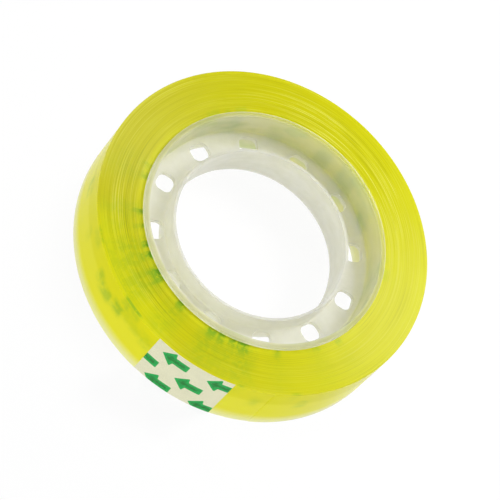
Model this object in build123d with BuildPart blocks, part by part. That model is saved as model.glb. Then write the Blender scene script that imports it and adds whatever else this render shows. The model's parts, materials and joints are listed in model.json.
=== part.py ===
"""A roll of clear stationery tape on a moulded core, with a paper pull tab under its free end.

The roll lies flat. +Z is the axis of the core, Z = 0 is the lower side of the tape, and the
pull tab faces -Y. The tape is wound anticlockwise seen from above, so its free end peels off
clockwise. All sizes are in millimetres and all angles in degrees.
"""

from build123d import *

import math
import os

# The tape: one strip of film, wound on the core
roll_diameter = 59.5
tape_width = 12.0
film = 0.05
peel_gap = 0.03  # between the free end and the turns below it

# The moulded core: an outer hoop, a web with windows, and an inner hoop with the bore
bore_diameter = 30.7
bore_length = 7.0
core_depth = 6.35  # from the bore out to the tape
rim_proud = 0.63  # how far the core stands above the tape's upper side
rim_recess = 1.13  # how far it stays above the tape's lower side
rim_wall = 0.85  # outer hoop at its rims
rim_foot_wall = 1.0  # outer hoop where the web meets it
rim_rounding = 0.3
lip_wall = 0.5  # inner hoop at its lips
lip_foot_wall = 0.8  # inner hoop where the web meets it
lip_rounding = 0.2
web = 0.9
web_corner = 0.3

# The windows in the web
window_count = 12
window_phase = -1.7
window_across = 3.45
window_lip_margin = 0.37  # web left between a window and the inner hoop
window_rim_margin = 1.08  # web left between a window and the outer hoop
window_corner = 1.15
roundest_corner = 0.45  # most of a window's smaller side that one corner may take

# The printed label strip around the core
label = 0.1
label_margin = 0.5  # from the label's edges to the core's lower rim and the tape's upper side
label_seam = 1.2
label_seam_angle = 196.0

# The pull tab and the free end of the tape, which bend at even steps along their length
tab = 0.1
tab_length = 14.6
tab_middle_angle = -90.0
tab_links = 4
tab_gap = 0.02  # below the tab and past its far end, in its seat
tail_length = 7.0
tail_links = 2
end_gap = 0.15  # from the cut end of the tape to the turn that comes up beside it

# Radii and angles that follow from the sizes above
roll_radius = roll_diameter / 2
film_inner = roll_radius - film
pack_outer = film_inner - peel_gap
bore_radius = bore_diameter / 2
core_radius = bore_radius + core_depth
label_outer = core_radius + label
core_width = tape_width + rim_proud - rim_recess
core_middle = rim_recess + core_width / 2


def arc_angle(length):
    """Returns the angle that a length along the roll's outer surface takes up."""
    return math.degrees(length / roll_radius)


tab_start = tab_middle_angle - arc_angle(tab_length) / 2
tab_end = tab_start + arc_angle(tab_length)
tape_end = tab_end + arc_angle(tail_length)
lap_start = tape_end + arc_angle(end_gap)
tab_step = (tab_end - tab_start) / tab_links
tail_step = (tape_end - tab_end) / tail_links


def ring_sector(inner, outer, start, end):
    """Returns a flat face between two radii and two angles, about the roll's axis."""
    with BuildSketch(mode=Mode.PRIVATE) as sector:
        with BuildLine():
            outside = CenterArc((0, 0), outer, start, end - start)
            inside = CenterArc((0, 0), inner, start, end - start)
            Line(inside @ 0, outside @ 0)
            Line(inside @ 1, outside @ 1)
        make_face()
    return sector.sketch


def save(piece, name):
    """Labels a finished piece and writes its STEP file."""
    piece.part.label = name
    export_step(piece.part, f"parts/{name}.step")


os.makedirs("parts", exist_ok=True)

# Core: one section with tapering hoops, turned about the axis, then the windows through its web
lip = bore_radius + lip_wall
lip_foot = bore_radius + lip_foot_wall
rim = core_radius - rim_wall
rim_foot = core_radius - rim_foot_wall
section_points = (
    (bore_radius, bore_length / 2),
    (lip, bore_length / 2),
    (lip_foot, web / 2),
    (rim_foot, web / 2),
    (rim, core_width / 2),
    (core_radius, core_width / 2),
    (core_radius, -core_width / 2),
    (rim, -core_width / 2),
    (rim_foot, -web / 2),
    (lip_foot, -web / 2),
    (lip, -bore_length / 2),
    (bore_radius, -bore_length / 2),
)
window_start = lip_foot + window_lip_margin
window_end = rim_foot - window_rim_margin
window_radial = window_end - window_start
corner_limit = roundest_corner * min(window_radial, window_across)
with BuildPart() as core:
    with BuildSketch(Plane((0, 0, core_middle), x_dir=(1, 0, 0), z_dir=(0, -1, 0))) as core_section:
        with BuildLine():
            Polyline(section_points, close=True)
        make_face()
        corners = core_section.vertices().group_by(lambda corner: abs(corner.Y))
        fillet(corners[0], web_corner)
        fillet(corners[1], lip_rounding)
        fillet(corners[2], rim_rounding)
    revolve(axis=Axis.Z)
    with BuildSketch(Plane.XY.offset(core_middle)):
        with PolarLocations((window_start + window_end) / 2, window_count, start_angle=window_phase):
            RectangleRounded(window_radial, window_across, min(window_corner, corner_limit))
    extrude(amount=web, both=True, mode=Mode.SUBTRACT)
save(core, "core")

# Printed label strip: one turn around the core, with an open seam
label_bottom = rim_recess + label_margin
label_top = tape_width - label_margin
half_seam = math.degrees(label_seam / core_radius) / 2
label_start = label_seam_angle + half_seam
label_end = label_seam_angle - half_seam + 360
with BuildPart() as core_label:
    with BuildSketch(Plane.XY.offset(label_bottom)):
        add(ring_sector(core_radius, label_outer, label_start, label_end))
    extrude(amount=label_top - label_bottom)
save(core_label, "core_label")

# Tape pack: all the turns that stay wound, with a shallow seat that the pull tab lies in
tab_inner = film_inner - tab
seat_radius = tab_inner - tab_gap
seat_end = tab_end + arc_angle(tab_gap)
with BuildPart() as tape_pack:
    with BuildSketch(Plane.XY):
        Circle(pack_outer)
        Circle(label_outer, mode=Mode.SUBTRACT)
        add(ring_sector(seat_radius, roll_radius, tab_start, seat_end), mode=Mode.SUBTRACT)
    extrude(amount=tape_width)
save(tape_pack, "tape_pack")

# Outer lap: the last turn, from beside the cut end round to where the free end lifts off
with BuildPart() as outer_lap:
    with BuildSketch(Plane.XY):
        add(ring_sector(pack_outer, roll_radius, lap_start, tab_start + 360))
    extrude(amount=tape_width)
save(outer_lap, "outer_lap")

# Free end of the tape: short links of film that hinge on their outer surface
link_starts = [tab_start + tab_step * count for count in range(tab_links)]
link_starts += [tab_end + tail_step * count for count in range(tail_links)]
link_ends = link_starts[1:] + [tape_end]
for number, (link_start, link_end) in enumerate(zip(link_starts, link_ends), start=1):
    with BuildPart() as tape_lead:
        with BuildSketch(Plane.XY):
            add(ring_sector(film_inner, roll_radius, link_start, link_end))
        extrude(amount=tape_width)
    save(tape_lead, f"tape_lead_{number}")

# Pull tab: paper stuck under the first links, divided where they are
for number, (link_start, link_end) in enumerate(zip(link_starts[:tab_links], link_ends), start=1):
    with BuildPart() as pull_tab:
        with BuildSketch(Plane.XY):
            add(ring_sector(tab_inner, film_inner, link_start, link_end))
        extrude(amount=tape_width)
    save(pull_tab, f"pull_tab_{number}")
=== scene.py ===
"""Looks for a roll of clear stationery tape, laid out as an add-on around the packed part.

The roll lies flat with its axis on +Z. The tape is grown by geometry nodes as one winding whose
edges wander from turn to turn, its free end and the paper tab under it are grown as strips in
several pieces, and the moulded core and its label strip get their finishes. Lengths are in metres
and angles in radians, except where a name says otherwise.
"""

import json
from functools import partialmethod
from math import cos, radians, sin, tau

import bpy
import numpy as np
from bpy.props import FloatProperty, FloatVectorProperty, IntProperty, PointerProperty
from mathutils import Matrix, Vector


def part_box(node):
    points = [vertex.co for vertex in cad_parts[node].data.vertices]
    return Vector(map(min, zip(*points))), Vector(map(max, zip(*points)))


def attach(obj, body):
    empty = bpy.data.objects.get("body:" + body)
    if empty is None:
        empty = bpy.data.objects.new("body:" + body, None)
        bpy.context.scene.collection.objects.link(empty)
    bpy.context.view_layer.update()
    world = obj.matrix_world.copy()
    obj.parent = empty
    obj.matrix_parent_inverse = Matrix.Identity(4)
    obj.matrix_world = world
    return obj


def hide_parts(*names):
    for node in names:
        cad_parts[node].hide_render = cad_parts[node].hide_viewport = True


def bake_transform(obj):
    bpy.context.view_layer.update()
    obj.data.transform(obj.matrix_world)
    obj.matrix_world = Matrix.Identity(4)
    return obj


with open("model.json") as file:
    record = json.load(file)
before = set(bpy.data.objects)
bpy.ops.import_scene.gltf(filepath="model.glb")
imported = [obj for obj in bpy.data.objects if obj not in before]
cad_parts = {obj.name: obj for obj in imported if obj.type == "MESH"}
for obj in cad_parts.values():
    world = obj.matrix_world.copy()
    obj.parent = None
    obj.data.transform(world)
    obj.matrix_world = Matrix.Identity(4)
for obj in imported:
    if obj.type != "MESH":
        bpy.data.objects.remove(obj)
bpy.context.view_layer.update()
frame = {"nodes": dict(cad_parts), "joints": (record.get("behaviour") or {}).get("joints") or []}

bl_info = {
    "name": "Tape roll looks",
    "version": (1, 0, 0),
    "blender": (4, 5, 0),
    "location": "View3D > Sidebar > Tape Roll",
    "description": "Builds the visible pieces and finishes of a roll of clear stationery tape",
    "category": "Object",
}

MM = 0.001
FILM_NODES = sorted(name for name in frame["nodes"] if name.startswith("tape_lead_"))
TAB_NODES = sorted(name for name in frame["nodes"] if name.startswith("pull_tab_"))
PEEL_JOINTS = sorted(frame["joints"], key=lambda joint: joint["name"])

# Blocks of generic print on the label strip: from and to which angle each one runs, in degrees,
# and how strongly it shows through the turns of tape
PRINT_BLOCKS = (
    (-177.5, -174, 0.5), (-172.5, -169, 0.6), (-154.7, -152, 0.8), (-147.6, -145.6, 0.7),
    (-139.4, -136.5, 1.0), (-134.8, -130.8, 1.0), (-127.2, -120, 1.0), (-109.8, -105.2, 0.9),
    (-92.5, -88.5, 1.0), (-88, -84.5, 0.9), (-83, -79, 0.9), (-78.5, -73, 1.0),
    (-62.2, -59, 0.5), (-44, -40, 0.45), (-32, -28.5, 0.4), (10, 16, 0.2), (19, 22, 0.15),
    (42, 50, 0.0), (60, 71, 0.0), (76, 84, 0.1), (100, 108, 0.1), (123, 129, 0.25),
    (131, 134, 0.25), (136, 143, 0.25),
)  # fmt: skip

# Kinds of block, which take turns round the label: from and to which height each one runs, and
# how far it shows out through the turns, in millimetres
BLOCK_KINDS = ((2.6, 10.4, 3.4), (5.4, 10.4, 2.4), (2.6, 7.8, 3.0))

# Where the print shows through the tape's outer face: at which angle in degrees, how far it
# reaches to each side in degrees, at which height in millimetres, and how strongly
WALL_PRINT = (
    (-186, 1.5, 9.0, 0.35), (-164, 3.2, 7.6, 0.5), (-147.5, 1.3, 7.4, 0.3),
    (-143, 2.8, 11, 0.3), (-132.5, 1.6, 7.8, 0.7), (-127.5, 3.4, 7.0, 0.7),
    (-121, 2.8, 7.8, 0.8), (-117, 4.0, 11.1, 0.6), (-112, 7.5, 8.6, 0.3),
    (-107, 2.0, 7.9, 0.6), (-74, 1.1, 11.2, 0.4), (-66.5, 1.6, 8.0, 0.45),
    (-55, 1.4, 11.3, 0.25), (-50, 2.2, 7.9, 0.4), (-30, 2.0, 7.9, 0.2), (40, 3.0, 7.8, 0.4),
    (62, 3.5, 7.6, 0.5), (90, 2.6, 8.0, 0.4), (118, 3.4, 7.4, 0.5), (140, 2.2, 7.8, 0.4),
)  # fmt: skip


def points_of(mesh):
    """Returns a mesh's vertices as rows of x, y and z."""
    points = np.empty(len(mesh.vertices) * 3)
    mesh.vertices.foreach_get("co", points)
    return points.reshape(-1, 3)


def node_points(node):
    """Returns a frame node's vertices as rows of x, y and z."""
    return points_of(frame["nodes"][node].data)


def node_radii(node):
    """Returns a frame node's smallest and largest radius about the roll's axis."""
    distance = np.hypot(*node_points(node)[:, :2].T)
    return float(distance.min()), float(distance.max())


def node_angles(node):
    """Returns the angles at which a frame node of the free end starts and ends."""
    points = node_points(node)
    azimuth = np.arctan2(points[:, 1], points[:, 0])
    return float(azimuth.min()), float(azimuth.max())


TAPE_INNER = node_radii("tape_pack")[0]
TAPE_OUTER = node_radii("outer_lap")[1]
TAPE_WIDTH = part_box("outer_lap")[1].z
FILM_START = node_angles(FILM_NODES[0])[0]
FILM_END = node_angles(FILM_NODES[-1])[1]
TAB_END = node_angles(TAB_NODES[-1])[1]


# ---- sizes and colours ----


def whole(name, description, default, low=0):
    """Returns a whole number property."""
    return IntProperty(name=name, description=description, default=default, min=low)


def plain(name, description, default, **limits):
    """Returns a plain number property, with its limits, unit or subtype."""
    return FloatProperty(name=name, description=description, default=default, **limits)


def portion(name, description, default):
    """Returns a share property, from 0 to 1."""
    return plain(name, description, default, subtype="FACTOR", min=0, max=1)


def watts(name, description, default):
    """Returns a lamp's power property."""
    return plain(name, description, default, unit="POWER")


def length(name, description, default):
    """Returns a length property."""
    return plain(name, description, default, unit="LENGTH", precision=5)


def angle(name, description, default):
    """Returns an angle property, from a default in degrees."""
    return plain(name, description, radians(default), unit="ROTATION")


def colour(name, description, *default):
    """Returns a colour property, from linear red, green and blue."""
    return FloatVectorProperty(
        name=name, description=description, default=default, subtype="COLOR", size=3, min=0, max=1
    )


class TapeRollWinding(bpy.types.PropertyGroup):
    """How the tape is wound and what its film looks like."""

    ring_count: whole("Rings", "Visible rings on each side of the winding", 72, low=8)
    column_angle: angle("Column angle", "Angle between two columns of the winding's mesh", 1.0)
    wall_rows: whole("Wall rows", "Rows of faces up the outer wall", 24, low=1)
    ring_wander: length("Ring wander", "How far one ring may stand below its neighbours", 0.000012)
    band_wander: length("Band wander", "How far a band of rings may stand below others", 0.00002)
    rings_per_band: plain("Rings per band", "Rings that wander together", 9, min=1)
    lined_sides: FloatVectorProperty(
        name="Lined sides", description="Turns of the sides where single edges stand out", size=2,
        default=(radians(-147), radians(70)), subtype="EULER", unit="ROTATION",
    )  # fmt: skip
    # Painted light: the sides are painted lighter towards this turn
    painted_light_side: angle("Bright side", "Turn of the side where the edges look brightest", -15.0)
    # The side in the core rim's shadow, which gets painted light near the core and towards the
    # outer edge
    shaded_side: angle("Shaded side", "Turn of the side that is lit through the core", -128.0)
    seed: whole("Seed", "Fixes the wander of the rings", 7)
    seat_depth: length("Seat depth", "How far the pack drops under the paper tab", 0.00017)
    tail_depth: length("Tail depth", "How far the pack drops under the film past the tab", 0.00008)
    # These two colours carry the turns' own tone and also the painted light and shade across the
    # sides
    edge_clear_and_lit: colour("Edge, bright", "Slit edges of the film in clear turns", 0.77, 0.77, 0.003)
    edge_deep_and_shaded: colour("Edge, deep", "Slit edges of the film in deep turns", 0.60, 0.56, 0.001)
    # Painted shade and painted light on single sunk and raised turns
    edge_shadow: colour("Edge, sunk", "Turns that lie below the others", 0.44, 0.44, 0.002)
    edge_light: colour("Edge, raised", "Turns that stand above the others", 0.88, 0.87, 0.14)
    # Painted light on the turns beside the core, where the core's rim shades them
    edge_painted_light: colour("Edge, lit", "Turns beside the core, with its light in them", 0.97, 0.96, 0.02)
    # Painted light towards the lower edge of the outer face
    face_painted_light: colour("Face, rim", "Outer face where it meets the lower edge", 0.92, 0.92, 0.44)
    face_clear: colour("Face, clear", "Outer face over its lower half", 0.87, 0.84, 0.025)
    face_deep: colour("Face, deep", "Outer face in front of the label", 0.80, 0.775, 0.004)
    ghost: colour("Label behind tape", "The label's print seen through the turns", 0.17, 0.46, 0.02)


class TapeRollFreeEnd(bpy.types.PropertyGroup):
    """The free end of the film and the paper tab under it."""

    skin: length("Skin", "Room left between the film and the paper", 0.00001)
    film_columns: whole("Film columns", "Faces along one link of film", 14, low=2)
    film_rows: whole("Film rows", "Faces across the film's width", 12, low=1)
    paper_grid: length("Paper grid", "Size of a face of the paper", 0.0002)
    film: colour("Film", "One layer of clear film", 0.80, 0.78, 0.14)
    film_cover: portion("Film cover", "How much one layer of film hides", 0.025)
    paper: colour("Paper", "Cream paper of the pull tab", 0.93, 0.92, 0.69)
    ink: colour("Ink", "Green ink of the arrows", 0.001, 0.47, 0.11)
    arrow_tip: length("First arrow", "From the tab's free end to its first arrow tip", 0.00169)
    arrow_pitch: length("Arrow pitch", "From one arrow to the next in a row", 0.0086)
    arrow_shift: length("Arrow shift", "How far every other row is shifted", 0.00427)
    row_pitch: length("Row pitch", "From one row of arrows to the next", 0.00437)
    row_top: length("Top row", "Height of the top row's middle line", 0.00967)


class TapeRollCore(bpy.types.PropertyGroup):
    """The moulded core and the printed label strip around it."""

    plastic: colour("Plastic", "Natural translucent moulding", 0.88, 0.87, 0.74)
    plastic_cover: portion("Plastic cover", "How much the plastic hides", 0.62)
    rim: colour("Rim", "Rim of the outer hoop with the core behind it", 0.55, 0.55, 0.29)
    far_side: angle("Far side", "Turn of the hoop with the deepest tape behind it", 62.0)
    rim_far: colour("Rim, far side", "Rim of the outer hoop with tape behind it", 0.54, 0.54, 0.11)
    behind_film: colour("Behind, film", "Film seen through the outer hoop", 0.95, 0.95, 0.52)
    behind_deep: colour("Behind, deep", "Deep film seen through the hoop", 0.75, 0.76, 0.16)
    behind_print: colour("Behind, print", "Print seen through the outer hoop", 0.46, 0.62, 0.16)
    label: colour("Label", "Strip behind the print", 0.74, 0.72, 0.22)
    print: colour("Print", "Green blocks on the label strip", 0.05, 0.33, 0.08)
    label_cover: portion("Label cover", "How much the bare strip hides", 0.25)
    print_cover: portion("Print cover", "How much the strip hides where it is printed", 0.35)


class TapeRollStage(bpy.types.PropertyGroup):
    """Camera, lights and floor."""

    look_at: FloatVectorProperty(
        name="Look at", description="Point that the camera looks at", size=3,
        default=(0.000187, -0.000832, 0.005482), subtype="XYZ", unit="LENGTH", precision=5,
    )  # fmt: skip
    camera_distance: length("Camera distance", "From the camera to the point it looks at", 0.48206)
    camera_angle: angle("Camera angle", "Direction from the roll's axis to the camera", -102.78)
    camera_height: angle("Camera height", "Angle of the camera above the floor", 56.08)
    camera_roll: angle("Camera roll", "Turn of the camera about its line of sight", 42.53)
    lens: plain("Lens", "Focal length", 206.0, unit="CAMERA")
    sky: plain("Sky", "Strength of the even light", 0.32, min=0)
    horizon: plain("Horizon", "Strength of the light near the horizon", 0.98, min=0)
    key_power: watts("Key lamp", "Power of the nearest lamp", 0.9)
    fill_power: watts("Fill lamp", "Power of the side lamp", 0.8)
    front_power: watts("Front lamp", "Power of the lamp on the camera's side", 0.92)
    lamp_size: length("Lamp size", "Width of each soft lamp", 0.14)
    key_distance: length("Key distance", "From the roll to the key lamp", 0.36)
    fill_distance: length("Fill distance", "From the roll to the fill lamp", 0.8)
    front_distance: length("Front distance", "From the roll to the front lamp", 0.8)
    key_angle: angle("Key angle", "Direction from the roll's axis to the key lamp", 48.0)
    fill_angle: angle("Fill angle", "Direction from the roll's axis to the fill lamp", 130.0)
    front_angle: angle("Front angle", "Direction from the roll's axis to the front lamp", -102.0)
    key_height: angle("Key height", "Angle of the key lamp above the floor", 47.0)
    fill_height: angle("Fill height", "Angle of the fill lamp above the floor", 47.0)
    front_height: angle("Front height", "Angle of the front lamp above the floor", 12.0)
    floor_size: length("Floor size", "Width of the floor", 4.0)
    floor: colour("Floor", "Plain pale floor", 0.08, 0.08, 0.08)
    floor_glow: plain("Floor glow", "Light that comes up through the floor", 0.93, min=0)


SETTINGS = {
    "tape_roll_winding": TapeRollWinding,
    "tape_roll_free_end": TapeRollFreeEnd,
    "tape_roll_core": TapeRollCore,
    "tape_roll_stage": TapeRollStage,
}


# ---- building node trees ----


class Graph:
    """Adds linked nodes to one shader or geometry tree."""

    def __init__(self, tree):
        self.tree = tree

    def feed(self, socket, value):
        """Links a socket, or sets its value."""
        if isinstance(value, bpy.types.NodeSocket):
            self.tree.links.new(value, socket)
        else:
            socket.default_value = value

    def node(self, kind, inputs=None, **settings):
        """Adds a node, with its settings and its inputs by name or number."""
        node = self.tree.nodes.new(kind)
        for name, value in settings.items():
            setattr(node, name, value)
        for key, value in (inputs or {}).items():
            self.feed(node.inputs[key], value)
        return node

    def math(self, operation, *values, clamp=False):
        """Adds a Math node and returns its result."""
        inputs = dict(enumerate(values))
        return self.node("ShaderNodeMath", inputs, operation=operation, use_clamp=clamp).outputs[0]

    plus = partialmethod(math, "ADD")
    minus = partialmethod(math, "SUBTRACT")
    times = partialmethod(math, "MULTIPLY")
    times_plus = partialmethod(math, "MULTIPLY_ADD")

    def facing(self, azimuth, middle):
        """Returns 1 where an angle points the same way as another, down to -1 opposite it."""
        return self.math("COSINE", self.minus(azimuth, middle))

    def ramp_between(self, value, low, high, start=0.0, end=1.0, smooth=False):
        """Returns start where value is at low, end where it is at high, and what lies between."""
        inputs = {"Value": value, "From Min": low, "From Max": high, "To Min": start, "To Max": end}
        kind = "SMOOTHSTEP" if smooth else "LINEAR"
        return self.node("ShaderNodeMapRange", inputs, interpolation_type=kind).outputs["Result"]

    def combine(self, x, y, z):
        """Returns a vector from its parts."""
        return self.node("ShaderNodeCombineXYZ", {0: x, 1: y, 2: z}).outputs[0]

    def split(self, vector):
        """Returns a vector's three parts."""
        return self.node("ShaderNodeSeparateXYZ", {0: vector}).outputs

    def around(self, radius, azimuth, height):
        """Returns the point at a radius, an angle and a height about the roll's axis."""
        x = self.times(radius, self.math("COSINE", azimuth))
        y = self.times(radius, self.math("SINE", azimuth))
        return self.combine(x, y, height)

    def surface_point(self):
        """Returns the surface point in the object's own coordinates."""
        return self.node("ShaderNodeTexCoord").outputs["Object"]

    def attribute(self, name):
        """Returns a number that is stored for each vertex."""
        return self.node("ShaderNodeAttribute", attribute_name=name).outputs["Fac"]

    def noise(self, vector, scale, detail=2.0, roughness=0.5):
        """Returns a noise value about 0.5."""
        inputs = {"Vector": vector, "Scale": scale, "Detail": detail, "Roughness": roughness}
        return self.node("ShaderNodeTexNoise", inputs).outputs[0]

    def mix(self, factor, first, second):
        """Returns a blend of two colours."""
        inputs = {0: factor, 6: opaque(first), 7: opaque(second)}
        return self.node("ShaderNodeMix", inputs, data_type="RGBA").outputs[2]


def opaque(value):
    """Returns a colour with an alpha of one, or the socket that was given."""
    return value if isinstance(value, bpy.types.NodeSocket) else (*value[:3], 1.0)


def dimmed(tint, red, green, blue):
    """Returns a colour with each part dimmed to a share."""
    return tint[0] * red, tint[1] * green, tint[2] * blue


def new_finish(name):
    """Returns a new material, its graph and its shader node."""
    finish = bpy.data.materials.new(name)
    finish.use_nodes = True
    return finish, Graph(finish.node_tree), finish.node_tree.nodes["Principled BSDF"]


def set_shader(graph, shader, **values):
    """Links or sets a shader's sockets, named with underscores for spaces."""
    for name, value in values.items():
        graph.feed(shader.inputs[name.replace("_", " ")], value)


def bump(graph, height, distance, strength):
    """Returns a normal that is bumped by up to a distance, from a height between 0 and 1."""
    inputs = {"Height": height, "Distance": distance, "Strength": strength}
    return graph.node("ShaderNodeBump", inputs).outputs[0]


def roll_place(graph):
    """Returns a surface point, and its radius, angle and height about the roll, in millimetres."""
    point = graph.surface_point()
    x, y, z = graph.split(point)
    radius = graph.math("SQRT", graph.plus(graph.times(x, x), graph.times(y, y)))
    azimuth = graph.math("ARCTAN2", y, x)
    return point, graph.math("DIVIDE", radius, MM), azimuth, graph.math("DIVIDE", z, MM)


def turn_noise(graph, place, across, along, detail, roughness):
    """Returns a noise that is drawn out along the turns of the tape."""
    _, radius, azimuth, height = place
    vector = graph.combine(
        graph.times_plus(radius, across, height),
        graph.times(graph.math("COSINE", azimuth), along),
        graph.times(graph.math("SINE", azimuth), along),
    )
    return graph.noise(vector, 1.0, detail, roughness)


def broken_ghost(graph, point, scale, span, shares):
    """Returns how strongly the label's print shows, broken into bits by a noise."""
    bits = graph.noise(point, scale, detail=2.0, roughness=0.6)
    return graph.times(graph.attribute("print_ghost"), graph.ramp_between(bits, *span, *shares))


# ---- finishes ----

# Patterns of the slit edges: steps for each millimetre across the turns, steps round the roll,
# detail and roughness
FINE_LINES = (8.0, 1.2, 3.0, 0.7)
TURN_BANDS = (1.5, 1.6, 2.0, 0.5)
TURN_ARCS = (10.0, 1.5, 2.0, 0.6)
TURN_SECTORS = (0.22, 1.9, 1.0, 0.5)

# How far red, green and blue light travels inside each material, in metres
EDGE_SCATTER = (0.003, 0.0029, 0.0004)
FACE_SCATTER = (0.003, 0.0029, 0.0005)
CORE_SCATTER = (0.004, 0.0039, 0.0030)

NOISE_SPAN = (0.3, 0.7)  # the values that a noise mostly keeps between


def edge_finish(settings):
    """Returns the finish of the winding's sides, where the slit edges of the turns lie."""
    finish, graph, shader = new_finish("slit_edges")
    ramp, times = graph.ramp_between, graph.times
    place = roll_place(graph)
    point, radius, azimuth, _ = place
    fine, bands, arcs, sectors = (
        turn_noise(graph, place, *pattern)
        for pattern in (FINE_LINES, TURN_BANDS, TURN_ARCS, TURN_SECTORS)
    )

    # How clear the turns look, with painted light: lighter towards one side, and a painted glow
    # towards the outer edge on the shaded side
    side_span, side_share, line_share, painted_glow_share = 30.0, 0.55, 0.22, 0.75
    toward_painted_light = times(radius, graph.facing(azimuth, settings.painted_light_side))
    clear = ramp(toward_painted_light, -side_span, side_span, 0.0, side_share)
    clear = graph.times_plus(ramp(fine, 0.35, 0.68), line_share, clear)
    clear = graph.plus(clear, ramp(bands, *NOISE_SPAN, 0.05, 0.2))
    # Painted glow towards the outer edge on the shaded side
    shaded = graph.facing(azimuth, settings.shaded_side)
    glow = ramp(shaded, 0.86, 0.97, smooth=True)
    glow = times(glow, ramp(radius, 23.0, 28.5, 0.0, painted_glow_share))
    clear = graph.plus(clear, glow)
    base = graph.mix(clear, settings.edge_deep_and_shaded, settings.edge_clear_and_lit)

    # Single turns that lie below or stand above the others, mostly on the lined sides, with painted
    # shade on the sunk ones and painted light on the raised ones
    lined_spread, lined_radii = (0.72, 0.95), (28.5, 26.5)
    lined = 0.0
    for middle in settings.lined_sides:
        near = ramp(graph.facing(azimuth, middle), *lined_spread, smooth=True)
        lined = graph.math("MAXIMUM", lined, near)
    lined = times(lined, ramp(radius, *lined_radii))

    def single_turns(arc_span, sector_span, shares, lined_gain, plain_gain):
        """Returns how strongly the turns show that the arcs pick out."""
        picked = times(ramp(arcs, *arc_span), ramp(sectors, *sector_span, *shares))
        gain = graph.times_plus(lined, lined_gain, plain_gain)
        return times(picked, gain, clamp=True)

    sunk = single_turns((0.46, 0.38), (0.42, 0.60), (0.08, 0.5), lined_gain=0.9, plain_gain=0.7)
    raised = single_turns((0.53, 0.62), (0.60, 0.42), (0.15, 0.5), lined_gain=1.2, plain_gain=0.6)
    base = graph.mix(sunk, base, settings.edge_shadow)
    base = graph.mix(raised, base, settings.edge_light)

    # Painted light on the turns beside the core, on the side where the core's rim shades them, and
    # the label's print
    core_radii, core_share = (23.1, 22.0), 0.7
    painted_core_light = times(ramp(shaded, 0.1, 0.7), ramp(radius, *core_radii, 0.0, core_share))
    base = graph.mix(painted_core_light, base, settings.edge_painted_light)
    ghost = broken_ghost(graph, point, scale=950.0, span=(0.42, 0.52), shares=(0.5, 1.0))

    set_shader(
        graph, shader,
        Base_Color=graph.mix(ghost, base, settings.ghost),
        Roughness=ramp(fine, *NOISE_SPAN, 0.42, 0.30),
        Normal=bump(graph, fine, distance=0.00003, strength=0.5),
        Tangent=graph.node("ShaderNodeTangent", direction_type="RADIAL", axis="Z").outputs[0],
        Anisotropic=0.9, Anisotropic_Rotation=0.25, Specular_IOR_Level=0.16,
        Subsurface_Weight=0.15, Subsurface_Radius=EDGE_SCATTER, Subsurface_Scale=1.0,
    )  # fmt: skip
    return finish


def face_finish(settings):
    """Returns the finish of the winding's outer face, with the label dimly behind it."""
    finish, graph, shader = new_finish("outer_turn")
    ramp, times = graph.ramp_between, graph.times
    point, radius, azimuth, height = roll_place(graph)

    # The face is deeper above a level that sways up and down, and has painted light towards the
    # lower edge
    sway, deep_levels, painted_light_height = 1.6, (7.2, 8.4), 3.2
    drift = graph.noise(graph.around(1.0, azimuth, 0.0), 2.0)
    level = graph.times_plus(drift, sway, graph.minus(height, sway / 2))
    deep = ramp(level, *deep_levels, smooth=True)
    base = graph.mix(deep, settings.face_clear, settings.face_deep)
    base = graph.mix(ramp(height, painted_light_height, 0.0, smooth=True), base, settings.face_painted_light)
    ghost = broken_ghost(graph, point, scale=520.0, span=(0.33, 0.63), shares=(0.15, 0.65))

    streaks = graph.noise(graph.combine(azimuth, times(height, 1.2), radius), 2.5, detail=3.0)
    set_shader(
        graph, shader,
        Base_Color=graph.mix(ghost, base, settings.ghost),
        Roughness=ramp(streaks, *NOISE_SPAN, 0.14, 0.26),
        Normal=bump(graph, graph.noise(point, 260.0), distance=0.00006, strength=0.35),
        Specular_IOR_Level=0.03,
        Subsurface_Weight=0.25, Subsurface_Radius=FACE_SCATTER, Subsurface_Scale=1.0,
    )  # fmt: skip
    return finish


def film_finish(settings):
    """Returns the finish of one clear layer of film."""
    finish, graph, shader = new_finish("film_layer")
    streaks = graph.noise(graph.surface_point(), 320.0)
    streak_tint = tuple(0.5 + 0.5 * part for part in settings.film)
    shade = graph.ramp_between(streaks, *NOISE_SPAN, 0.0, 0.25)
    set_shader(
        graph, shader,
        Base_Color=graph.mix(shade, settings.film, streak_tint),
        Roughness=graph.ramp_between(streaks, *NOISE_SPAN, 0.16, 0.28),
        Normal=bump(graph, streaks, distance=0.00003, strength=0.3),
        Alpha=settings.film_cover, Specular_IOR_Level=0.5,
    )  # fmt: skip
    return finish


def paper_finish(settings):
    """Returns the finish of the printed paper tab."""
    finish, graph, shader = new_finish("printed_paper")
    ramp = graph.ramp_between
    point = graph.surface_point()
    fibres = graph.noise(point, 2600.0, detail=4.0, roughness=0.65)
    clouds = graph.noise(point, 500.0)
    shade = graph.times_plus(fibres, 0.6, graph.times(clouds, 0.4))
    dark = dimmed(settings.paper, 0.9, 0.9, 0.9)
    paper = graph.mix(ramp(shade, *NOISE_SPAN), dark, settings.paper)

    # The ink's edge follows the fibres, and the ink lies heavier in the middle of an arrow
    fray, soak, bare_share, edge_span = 0.12, 2.4, 0.01, (-0.03, 0.03)
    depth = graph.attribute("ink")
    fibre_step = graph.minus(fibres, 0.5)
    frayed = graph.times_plus(fibre_step, fray, depth)
    soaked = graph.times_plus(fibre_step, soak, depth)
    heavy = dimmed(settings.ink, 0.5, 0.5, 0.5)
    ink = graph.mix(ramp(soaked, 0.3, 0.95), settings.ink, heavy)
    ink = graph.mix(ramp(clouds, 0.45, 0.75, 0.0, bare_share), ink, settings.paper)

    set_shader(
        graph, shader,
        Base_Color=graph.mix(ramp(frayed, *edge_span), paper, ink),
        Roughness=ramp(frayed, *edge_span, 0.85, 0.55),
        Normal=bump(graph, fibres, distance=0.00002, strength=0.4),
        Specular_IOR_Level=0.02,
    )  # fmt: skip
    return finish


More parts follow.
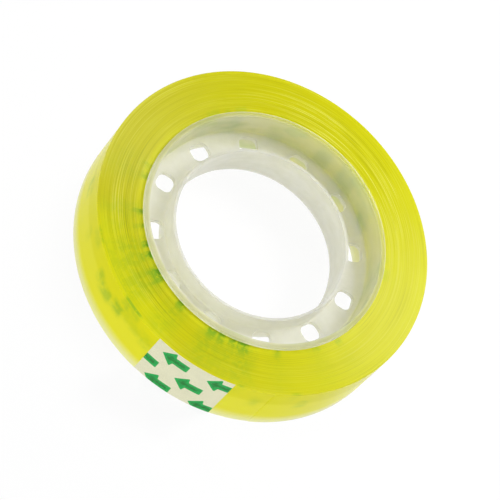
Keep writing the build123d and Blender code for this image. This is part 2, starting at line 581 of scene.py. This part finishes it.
def plastic_finish(settings):
    """Returns the finish of the moulded core, milky where it is thick."""
    finish, graph, shader = new_finish("milky_plastic")
    ramp, times = graph.ramp_between, graph.times
    point, radius, azimuth, height = roll_place(graph)
    flow_vector = graph.combine(times(azimuth, 5.0), times(radius, 0.22), height)
    flow = graph.noise(flow_vector, 1.0, detail=3.0)
    mottle = graph.noise(point, 420.0, detail=3.0, roughness=0.6)
    shade = graph.times_plus(flow, 0.55, times(mottle, 0.45))
    dark = dimmed(settings.plastic, 0.90, 0.90, 0.86)
    base = graph.mix(ramp(shade, 0.35, 0.65), dark, settings.plastic)

    # The outer hoop is thin enough to take the colour of what lies behind it
    hoop_radii, hoop_share = (20.2, 21.2), 0.7
    toward_far = graph.facing(azimuth, settings.far_side)
    patches = graph.noise(graph.around(3.0, azimuth, times(height, 0.25)), 1.0)
    deep = ramp(toward_far, 0.45, 0.97, smooth=True)
    behind = graph.mix(deep, settings.behind_film, settings.behind_deep)
    behind = graph.mix(ramp(patches, 0.50, 0.66), behind, settings.behind_print)
    backed = ramp(radius, *hoop_radii, 0.0, hoop_share, smooth=True)
    base = graph.mix(backed, base, behind)

    rim_heights, rim_radii = (11.9, 12.4), (20.6, 21.3)
    on_rim = times(ramp(height, *rim_heights), ramp(radius, *rim_radii))
    rim = graph.mix(ramp(toward_far, -0.6, 0.9), settings.rim, settings.rim_far)
    set_shader(
        graph, shader,
        Base_Color=graph.mix(on_rim, base, rim),
        Roughness=ramp(mottle, *NOISE_SPAN, 0.38, 0.52),
        Normal=bump(graph, mottle, distance=0.00005, strength=0.4),
        Alpha=settings.plastic_cover, Specular_IOR_Level=0.25,
        Subsurface_Weight=0.9, Subsurface_Radius=CORE_SCATTER, Subsurface_Scale=1.0,
    )  # fmt: skip
    return finish


def label_finish(settings):
    """Returns the finish of the label strip: generic green blocks of print on yellow film."""
    finish, graph, shader = new_finish("printed_label")
    ramp, times = graph.ramp_between, graph.times
    point, _, azimuth, height = roll_place(graph)
    soft_angle, soft_height = 0.006, 0.1
    blocks = 0.0
    for number, (start, end, _) in enumerate(PRINT_BLOCKS):
        low, high, _ = BLOCK_KINDS[number % len(BLOCK_KINDS)]
        middle, half = radians((start + end) / 2), radians((end - start) / 2)
        across = graph.math("ABSOLUTE", graph.minus(azimuth, middle))
        inside = ramp(across, half, half - soft_angle)
        inside = times(inside, ramp(height, low - soft_height, low + soft_height))
        inside = times(inside, ramp(height, high + soft_height, high - soft_height))
        blocks = graph.plus(inside, blocks, clamp=True)
    faint, full = 0.7, 1.0
    worn = ramp(graph.noise(point, 900.0, detail=3.0), 0.3, 0.6, faint, full)
    set_shader(
        graph, shader,
        Base_Color=graph.mix(times(blocks, worn), settings.label, settings.print),
        Roughness=ramp(worn, faint, full, 0.5, 0.35),
        Alpha=ramp(blocks, 0.0, 1.0, settings.label_cover, settings.print_cover),
        Specular_IOR_Level=0.3,
    )  # fmt: skip
    return finish


def floor_finish(settings):
    """Returns the finish of the plain floor."""
    finish, graph, shader = new_finish("pale_floor")
    grain = graph.noise(graph.surface_point(), 90.0)
    dim = dimmed(settings.floor, 0.99, 0.99, 0.99)
    set_shader(
        graph, shader,
        Base_Color=graph.mix(grain, dim, settings.floor),
        Roughness=0.95, Specular_IOR_Level=0.0,
        Emission_Strength=settings.floor_glow, Emission_Color=(1.0, 1.0, 1.0, 1.0),
    )  # fmt: skip
    return finish


# ---- shapes ----


def new_tree(name, **inputs):
    """Returns a new geometry tree's graph and its input sockets, named by kind."""
    tree = bpy.data.node_groups.new(name, "GeometryNodeTree")
    for kind, labels in inputs.items():
        for label in labels:
            tree.interface.new_socket(name=label, in_out="INPUT", socket_type=f"NodeSocket{kind}")
    tree.interface.new_socket(name="Mesh", in_out="OUTPUT", socket_type="NodeSocketGeometry")
    graph = Graph(tree)
    return graph, graph.node("NodeGroupInput").outputs


def lay_round(graph, mesh, radius, azimuth, height):
    """Returns a mesh with each point moved to its radius, angle and height about the roll."""
    inputs = {"Geometry": mesh, "Position": graph.around(radius, azimuth, height)}
    return graph.node("GeometryNodeSetPosition", inputs).outputs[0]


def end_tree(graph, mesh, materials):
    """Ends a geometry tree: closed mesh, sharp corners, and each material on its selection."""
    weld_distance, sharpest_bend = 1e-7, radians(40)
    weld = {"Geometry": mesh, "Distance": weld_distance}
    mesh = graph.node("GeometryNodeMergeByDistance", weld).outputs[0]
    bend = graph.node("GeometryNodeInputMeshEdgeAngle").outputs["Unsigned Angle"]
    smooth_edges = graph.math("LESS_THAN", bend, sharpest_bend)
    for domain, smooth in (("FACE", True), ("EDGE", smooth_edges)):
        inputs = {0: mesh, "Shade Smooth": smooth}
        mesh = graph.node("GeometryNodeSetShadeSmooth", inputs, domain=domain).outputs[0]
    mesh = graph.node("GeometryNodeRealizeInstances", {0: mesh}).outputs[0]
    for selection, material in materials:
        inputs = {"Geometry": mesh, "Selection": selection, "Material": material}
        mesh = graph.node("GeometryNodeSetMaterial", inputs).outputs[0]
    graph.node("NodeGroupOutput", {0: mesh})


def grow(name, tree, values):
    """Returns a new object with the plain mesh that a geometry tree makes from its inputs."""
    piece = bpy.data.objects.new(name, bpy.data.meshes.new(name))
    bpy.context.scene.collection.objects.link(piece)
    modifier = piece.modifiers.new("Shape", "NODES")
    modifier.node_group = tree
    for item in tree.interface.items_tree:
        if item.item_type == "SOCKET" and item.in_out == "INPUT":
            modifier[item.identifier] = values[item.name]
    shaped = piece.evaluated_get(bpy.context.evaluated_depsgraph_get())
    mesh = bpy.data.meshes.new_from_object(shaped)
    piece.modifiers.remove(modifier)
    piece.data = mesh
    mesh.name = name
    while mesh.materials and mesh.materials[0] is None:
        mesh.materials.pop(index=0)
    if not mesh.polygons:
        raise RuntimeError(f"{name} came out with no faces")
    return piece


def store(mesh, name, values):
    """Stores one number for each vertex of a mesh."""
    attribute = mesh.attributes.new(name, "FLOAT", "POINT")
    attribute.data.foreach_set("value", values.astype(np.float32))


def winding_tree():
    """Returns the tree of the wound tape: a ring whose sides step in and out with its turns."""
    graph, given = new_tree(
        "wound tape",
        Float=(
            "Inner Radius", "Outer Radius", "Seat Radius", "Tail Radius", "Width",
            "Seat Start", "Seat End", "Tail End", "Ring Wander", "Band Wander", "Rings per Band",
        ),
        Int=("Seat Columns", "Tail Columns", "Lap Columns", "Rings", "Wall Rows", "Seed"),
        Material=("Edges", "Faces"),
    )  # fmt: skip
    math, plus, minus, ramp = graph.math, graph.plus, graph.minus, graph.ramp_between
    times, times_plus = graph.times, graph.times_plus

    def reached(value, first):
        """Returns 1 where a whole number is at another or past it, and 0 before."""
        return math("GREATER_THAN", value, minus(first, 0.5))

    # Columns go round the roll, with two at each step in the outer radius, and close on the first
    tail_first = plus(given["Seat Columns"], 1.0)
    tail_last = plus(tail_first, given["Tail Columns"])
    lap_first = plus(tail_last, 1.0)
    lap_last = plus(lap_first, given["Lap Columns"])
    closing = plus(lap_last, 1.0)
    # Rows go out along the lower side, up the wall, in along the upper side, and close
    ring_steps = minus(given["Rings"], 1.0)
    wall_top = plus(ring_steps, given["Wall Rows"])
    upper_end = plus(wall_top, ring_steps)
    last_row = plus(upper_end, 1.0)
    grid = graph.node("GeometryNodeMeshGrid", {
        "Size X": closing, "Size Y": last_row,
        "Vertices X": plus(closing, 1.0), "Vertices Y": plus(last_row, 1.0),
    }).outputs["Mesh"]  # fmt: skip
    grid_x, grid_y, _ = graph.split(graph.node("GeometryNodeInputPosition").outputs[0])
    column = math("ROUND", times_plus(closing, 0.5, grid_x))
    row = math("ROUND", times_plus(last_row, 0.5, grid_y))

    # The angle of each column
    seat_span = minus(given["Seat End"], given["Seat Start"])
    tail_span = minus(given["Tail End"], given["Seat End"])
    lap_span = minus(tau, plus(seat_span, tail_span))
    azimuth = given["Seat Start"]
    for first, last, span in (
        (0.0, given["Seat Columns"], seat_span),
        (tail_first, tail_last, tail_span),
        (lap_first, lap_last, lap_span),
    ):
        azimuth = plus(azimuth, ramp(column, first, last, 0.0, span))

    # The outer radius at each column: the tab's seat, the free end's seat, the last turn
    limit = given["Seat Radius"]
    for first, before, after in (
        (tail_first, "Seat Radius", "Tail Radius"),
        (lap_first, "Tail Radius", "Outer Radius"),
        (closing, "Outer Radius", "Seat Radius"),
    ):
        rise = minus(given[after], given[before])
        limit = times_plus(reached(column, first), rise, limit)

    # The radius of each row, as a share of the winding's build
    share = minus(ramp(row, 0.0, ring_steps), ramp(row, wall_top, upper_end))
    build = minus(given["Outer Radius"], given["Inner Radius"])
    radius = math("MINIMUM", times_plus(share, build, given["Inner Radius"]), limit)

    # The height of each row, with a random drop for each ring and each band of rings
    before_closing = minus(1.0, reached(row, last_row))
    upper = times(reached(row, wall_top), before_closing)
    climb = times(ramp(row, ring_steps, wall_top), before_closing)
    upper_rings, band_seed, nearly = 1000.0, 50.0, 0.001
    ring = times_plus(share, ring_steps, times(upper, upper_rings))
    band = math("FLOOR", math("DIVIDE", ring, given["Rings per Band"]))

    def wander(number, amount, seed_shift):
        """Returns a random drop for each number, up to an amount."""
        inputs = {2: 0.0, 3: amount, "ID": number, "Seed": plus(given["Seed"], seed_shift)}
        return graph.node("FunctionNodeRandomValue", inputs, data_type="FLOAT").outputs[1]

    drop = plus(
        wander(math("ROUND", ring), given["Ring Wander"], 0.0),
        wander(band, given["Band Wander"], band_seed),
    )
    inward = times_plus(upper, -2.0, 1.0)
    at_lower = math("LESS_THAN", climb, nearly)
    at_upper = math("GREATER_THAN", climb, 1.0 - nearly)
    on_side = plus(at_lower, at_upper, clamp=True)
    height = times_plus(climb, given["Width"], times(times(drop, inward), on_side))

    mesh = lay_round(graph, grid, radius, azimuth, height)
    normal = graph.split(graph.node("GeometryNodeInputNormal").outputs[0])
    flat = math("GREATER_THAN", math("ABSOLUTE", normal[2]), 0.5)
    end_tree(graph, mesh, ((True, given["Faces"]), (flat, given["Edges"])))
    return graph.tree


def strip_tree():
    """Returns the tree of a strip bent round the roll: a closed slab between two radii."""
    graph, given = new_tree(
        "bent strip",
        Float=("Inner Radius", "Outer Radius", "Start", "End", "Width"),
        Int=("Columns", "Rows"),
        Material=("Material",),
    )
    slab = graph.node("GeometryNodeMeshCube", {
        "Size": (1.0, 1.0, 1.0), "Vertices X": graph.plus(given["Columns"], 1.0),
        "Vertices Y": graph.plus(given["Rows"], 1.0), "Vertices Z": 2,
    }).outputs["Mesh"]  # fmt: skip
    half = 0.5
    along, across, out = graph.split(graph.node("GeometryNodeInputPosition").outputs[0])
    azimuth = graph.ramp_between(along, -half, half, given["Start"], given["End"])
    radius = graph.ramp_between(out, -half, half, given["Inner Radius"], given["Outer Radius"])
    height = graph.ramp_between(across, -half, half, 0.0, given["Width"])
    mesh = lay_round(graph, slab, radius, azimuth, height)
    end_tree(graph, mesh, ((True, given["Material"]),))
    return graph.tree


def apart(azimuth, middle):
    """Returns how many degrees lie between angles and a middle, the shorter way round."""
    return np.abs((azimuth - middle + 180) % 360 - 180)


def soft_inside(distance, reach, blur):
    """Returns 0 where a distance is past a reach, rising to 1 over the blur inside it."""
    return np.clip((reach - distance) / blur, 0, 1)


def print_ghost(points):
    """Returns how strongly the label's print shows through the tape at each point."""
    radius = np.hypot(points[:, 0], points[:, 1]) / MM
    azimuth = np.degrees(np.arctan2(points[:, 1], points[:, 0]))
    height = points[:, 2] / MM
    from_core = radius - TAPE_INNER / MM

    # On the sides, a block shows beside the label, and as a faint tint further out
    block_spill, block_blur = 0.35, 0.9  # degrees
    tint_spill, tint_blur = 5.0, 6.0  # degrees
    tint_reach, tint_fade, tint_share = 12.6, 9.0, 0.3
    side = np.zeros(len(points))
    for number, (start, end, strength) in enumerate(PRINT_BLOCKS):
        off, half = apart(azimuth, (start + end) / 2), (end - start) / 2
        reach = BLOCK_KINDS[number % len(BLOCK_KINDS)][2] * (0.3 + 0.7 * strength)
        block = soft_inside(off, half + block_spill, block_blur)
        block *= soft_inside(from_core, reach, reach) ** 0.8
        tint = soft_inside(off, half + tint_spill, tint_blur)
        tint *= soft_inside(from_core, tint_reach, tint_fade) * tint_share * strength
        side = np.maximum(side, strength * np.maximum(block, tint))

    # On the outer face, soft marks lie about their own heights
    mark_spill, mark_blur = 0.9, 1.8  # degrees
    mark_reach, mark_fade = 2.1, 1.2
    face = np.zeros(len(points))
    for middle, half, level, strength in WALL_PRINT:
        mark = soft_inside(apart(azimuth, middle), half + mark_spill, mark_blur)
        mark *= soft_inside(np.abs(height - level), mark_reach, mark_fade)
        face = np.maximum(face, strength * mark)
    skin = 0.5
    return np.where(radius < TAPE_OUTER / MM - skin, side, face)


def arrow_depth(along, height, settings):
    """Returns how deep inside a printed arrow each point lies, in millimetres."""
    outline = np.array([
        (0.25, 0.0), (2.16, 2.0), (2.38, 0.88), (5.06, 0.88),
        (5.06, -0.88), (2.38, -0.88), (2.16, -2.0),
    ])  # fmt: skip
    rounding, rows, places = 0.14, 3, range(-1, 3)
    best = np.full(len(along), -np.inf)
    for row in range(rows):
        middle = (settings.row_top - row * settings.row_pitch) / MM
        for place in places:
            tip = (settings.arrow_tip + place * settings.arrow_pitch) / MM
            tip += settings.arrow_shift / MM * (row % 2)
            best = np.maximum(best, outline_depth(outline, along - tip, height - middle) + rounding)
    return best


def outline_depth(outline, x, y):
    """Returns the distance inside a closed outline of each point, negative outside."""
    nearest = np.full(len(x), np.inf)
    inside = np.zeros(len(x), bool)
    for (x0, y0), (x1, y1) in zip(outline, np.roll(outline, -1, axis=0)):
        run_x, run_y = x1 - x0, y1 - y0
        share = np.clip(((x - x0) * run_x + (y - y0) * run_y) / (run_x**2 + run_y**2), 0, 1)
        nearest = np.minimum(nearest, np.hypot(x - x0 - share * run_x, y - y0 - share * run_y))
        if y0 != y1:
            crossing = x0 + (y - y0) / run_y * run_x
            inside ^= ((y0 > y) != (y1 > y)) & (x < crossing)
    return np.where(inside, nearest, -nearest)


# ---- operators ----


class TAPE_ROLL_OT_core(bpy.types.Operator):
    """Give the moulded core its milky plastic"""

    bl_idname = "tape_roll.core"
    bl_label = "Core"

    def execute(self, context):
        finish = plastic_finish(context.scene.tape_roll_core)
        frame["nodes"]["core"].material_slots[0].material = finish
        return {"FINISHED"}


class TAPE_ROLL_OT_label(bpy.types.Operator):
    """Give the label strip its generic print"""

    bl_idname = "tape_roll.label"
    bl_label = "Label strip"

    def execute(self, context):
        finish = label_finish(context.scene.tape_roll_core)
        frame["nodes"]["core_label"].material_slots[0].material = finish
        return {"FINISHED"}


class TAPE_ROLL_OT_winding(bpy.types.Operator):
    """Grow the wound tape"""

    bl_idname = "tape_roll.winding"
    bl_label = "Wound tape"

    def execute(self, context):
        settings = context.scene.tape_roll_winding
        lap = node_points("outer_lap")
        past_end = np.mod(np.arctan2(lap[:, 1], lap[:, 0]) - FILM_END, tau).min()
        lap_start = FILM_END + float(past_end)
        step = settings.column_angle
        piece = grow("wound_tape", winding_tree(), {
            "Inner Radius": TAPE_INNER, "Outer Radius": TAPE_OUTER,
            "Seat Radius": TAPE_OUTER - settings.seat_depth,
            "Tail Radius": TAPE_OUTER - settings.tail_depth,
            "Width": TAPE_WIDTH, "Seat Start": FILM_START, "Seat End": TAB_END,
            "Tail End": lap_start, "Seat Columns": round((TAB_END - FILM_START) / step),
            "Tail Columns": round((lap_start - TAB_END) / step),
            "Lap Columns": round((tau + FILM_START - lap_start) / step),
            "Rings": settings.ring_count, "Wall Rows": settings.wall_rows,
            "Ring Wander": settings.ring_wander, "Band Wander": settings.band_wander,
            "Rings per Band": settings.rings_per_band, "Seed": settings.seed,
            "Edges": edge_finish(settings), "Faces": face_finish(settings),
        })  # fmt: skip
        store(piece.data, "print_ghost", print_ghost(points_of(piece.data)))
        piece.visible_shadow = piece.visible_diffuse = False  # the clear tape passes light on
        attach(piece, "wound_roll")
        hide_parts("tape_pack", "outer_lap")
        return {"FINISHED"}


def bend_cuts():
    """Returns the angles between which each joint of the free end bends it."""
    links = [node_angles(node) for node in FILM_NODES]
    middles = [(start + end) / 2 for start, end in links]
    return list(zip([links[0][0], *middles[:-1]], middles))


def grow_strip(name, cuts, strip_end, columns, values):
    """Returns a strip of the free end, in one piece for each joint that bends it."""
    tree = strip_tree()
    spans = [*cuts[:-1], (cuts[-1][0], strip_end)]
    return [
        grow(f"{name}_{number}", tree, {
            "Start": start, "End": end, "Width": TAPE_WIDTH, "Columns": columns(end - start),
            **values,
        })
        for number, (start, end) in enumerate(spans, start=1)
    ]  # fmt: skip


def bend_at_joints(pieces, cuts):
    """Bakes the place of each piece of the free end into its mesh."""
    for piece, joint, (start, end) in zip(pieces, PEEL_JOINTS, cuts):
        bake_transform(piece)


class TAPE_ROLL_OT_free_end(bpy.types.Operator):
    """Grow the free end of the film"""

    bl_idname = "tape_roll.free_end"
    bl_label = "Free end of the film"

    def execute(self, context):
        settings = context.scene.tape_roll_free_end
        cuts = bend_cuts()
        pieces = grow_strip("free_film", cuts, FILM_END, lambda span: settings.film_columns, {
            "Inner Radius": node_radii(FILM_NODES[0])[0] + settings.skin,
            "Outer Radius": TAPE_OUTER, "Rows": settings.film_rows,
            "Material": film_finish(settings),
        })  # fmt: skip
        bend_at_joints(pieces, cuts)
        for piece, node in zip(pieces, FILM_NODES):
            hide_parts(node)
        return {"FINISHED"}


class TAPE_ROLL_OT_pull_tab(bpy.types.Operator):
    """Grow the paper pull tab and print its arrows"""

    bl_idname = "tape_roll.pull_tab"
    bl_label = "Pull tab"

    def execute(self, context):
        settings = context.scene.tape_roll_free_end
        cuts = bend_cuts()[: len(TAB_NODES) + 1]
        inner, outer = node_radii(TAB_NODES[0])
        grid = settings.paper_grid
        pieces = grow_strip("tab_paper", cuts, TAB_END, lambda span: round(span * outer / grid), {
            "Inner Radius": inner, "Outer Radius": outer - settings.skin,
            "Rows": round(TAPE_WIDTH / grid), "Material": paper_finish(settings),
        })  # fmt: skip
        for piece in pieces:
            points = points_of(piece.data)
            along = (np.arctan2(points[:, 1], points[:, 0]) - FILM_START) * TAPE_OUTER / MM
            depth = arrow_depth(along, points[:, 2] / MM, settings)
            on_back = np.hypot(points[:, 0], points[:, 1]) < (inner + outer) / 2
            store(piece.data, "ink", np.where(on_back, -1.0, depth))
        bend_at_joints(pieces, cuts)
        for piece, node in zip(pieces, TAB_NODES):
            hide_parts(node)
        return {"FINISHED"}


class TAPE_ROLL_OT_stage(bpy.types.Operator):
    """Set up the floor, the lights and the camera"""

    bl_idname = "tape_roll.stage"
    bl_label = "Stage"

    def execute(self, context):
        settings, scene = context.scene.tape_roll_stage, context.scene
        half = settings.floor_size / 2
        mesh = bpy.data.meshes.new("floor")
        corners = [(-half, -half, 0), (half, -half, 0), (half, half, 0), (-half, half, 0)]
        mesh.from_pydata(corners, [], [(0, 1, 2, 3)])
        mesh.materials.append(floor_finish(settings))
        floor = bpy.data.objects.new("floor", mesh)
        scene.collection.objects.link(floor)

        scene.world = studio_light(settings)

        target = Vector(settings.look_at)
        for name in ("key", "fill", "front"):
            light = bpy.data.lights.new(f"{name}_lamp", "AREA")
            light.energy, light.size = getattr(settings, f"{name}_power"), settings.lamp_size
            lamp = bpy.data.objects.new(f"{name}_lamp", light)
            scene.collection.objects.link(lamp)
            toward = heading(
                getattr(settings, f"{name}_angle"), getattr(settings, f"{name}_height")
            )
            lamp.location = target + toward * getattr(settings, f"{name}_distance")
            lamp.rotation_euler = toward.to_track_quat("Z", "Y").to_euler()
            lamp.visible_camera = False

        toward = heading(settings.camera_angle, settings.camera_height)
        level = Vector((-sin(settings.camera_angle), cos(settings.camera_angle), 0))
        upright = toward.cross(level)
        turn = settings.camera_roll
        right = level * cos(turn) + upright * sin(turn)
        pose = Matrix((right, toward.cross(right), toward)).transposed().to_4x4()
        camera = bpy.data.objects.new("camera", bpy.data.cameras.new("camera"))
        camera.data.lens = settings.lens
        camera.data.clip_start, camera.data.clip_end = 0.01, 10.0
        scene.collection.objects.link(camera)
        camera.matrix_world = Matrix.Translation(target + toward * settings.camera_distance) @ pose
        scene.camera = camera
        scene.view_settings.view_transform = "Standard"
        return {"FINISHED"}


def studio_light(settings):
    """Returns the even light from all round, which is as pale as the floor near the horizon."""
    world = bpy.data.worlds.new("studio")
    world.use_nodes = True
    graph = Graph(world.node_tree)
    direction = graph.node("ShaderNodeTexCoord").outputs["Generated"]
    rise, haze_top, sky_bottom = graph.split(direction)[2], 0.08, 0.22
    strength = graph.ramp_between(
        rise, haze_top, sky_bottom, settings.horizon, settings.sky, smooth=True
    )
    background = world.node_tree.nodes["Background"]
    background.inputs["Color"].default_value = (1, 1, 1, 1)
    graph.feed(background.inputs["Strength"], strength)
    return world


def heading(azimuth, elevation):
    """Returns the unit vector at an angle round the axis and an angle above the floor."""
    return Vector((cos(azimuth) * cos(elevation), sin(azimuth) * cos(elevation), sin(elevation)))


OPERATORS = (
    TAPE_ROLL_OT_core, TAPE_ROLL_OT_label, TAPE_ROLL_OT_winding,
    TAPE_ROLL_OT_free_end, TAPE_ROLL_OT_pull_tab, TAPE_ROLL_OT_stage,
)  # fmt: skip


class TAPE_ROLL_PT_looks(bpy.types.Panel):
    """Lists the roll's pieces and the stage"""

    bl_idname = "TAPE_ROLL_PT_looks"
    bl_label = "Tape Roll"
    bl_space_type = "VIEW_3D"
    bl_region_type = "UI"
    bl_category = "Tape Roll"

    def draw(self, context):
        for operator in OPERATORS:
            self.layout.operator(operator.bl_idname)
        for name, group in SETTINGS.items():
            box = self.layout.box()
            box.label(text=group.__doc__)
            for key in group.__annotations__:
                box.prop(getattr(context.scene, name), key)


def register():
    """Registers the settings, the operators and the panel."""
    for name, group in SETTINGS.items():
        bpy.utils.register_class(group)
        setattr(bpy.types.Scene, name, PointerProperty(type=group))
    for made in (*OPERATORS, TAPE_ROLL_PT_looks):
        bpy.utils.register_class(made)


def unregister():
    """Removes what register added."""
    for made in (TAPE_ROLL_PT_looks, *reversed(OPERATORS)):
        bpy.utils.unregister_class(made)
    for name, group in reversed(SETTINGS.items()):
        delattr(bpy.types.Scene, name)
        bpy.utils.unregister_class(group)


def main():
    """Builds every piece and the stage."""
    register()
    bpy.ops.tape_roll.core()
    bpy.ops.tape_roll.label()
    bpy.ops.tape_roll.winding()
    bpy.ops.tape_roll.free_end()
    bpy.ops.tape_roll.pull_tab()
    bpy.ops.tape_roll.stage()


if __name__ == "__main__":
    main()
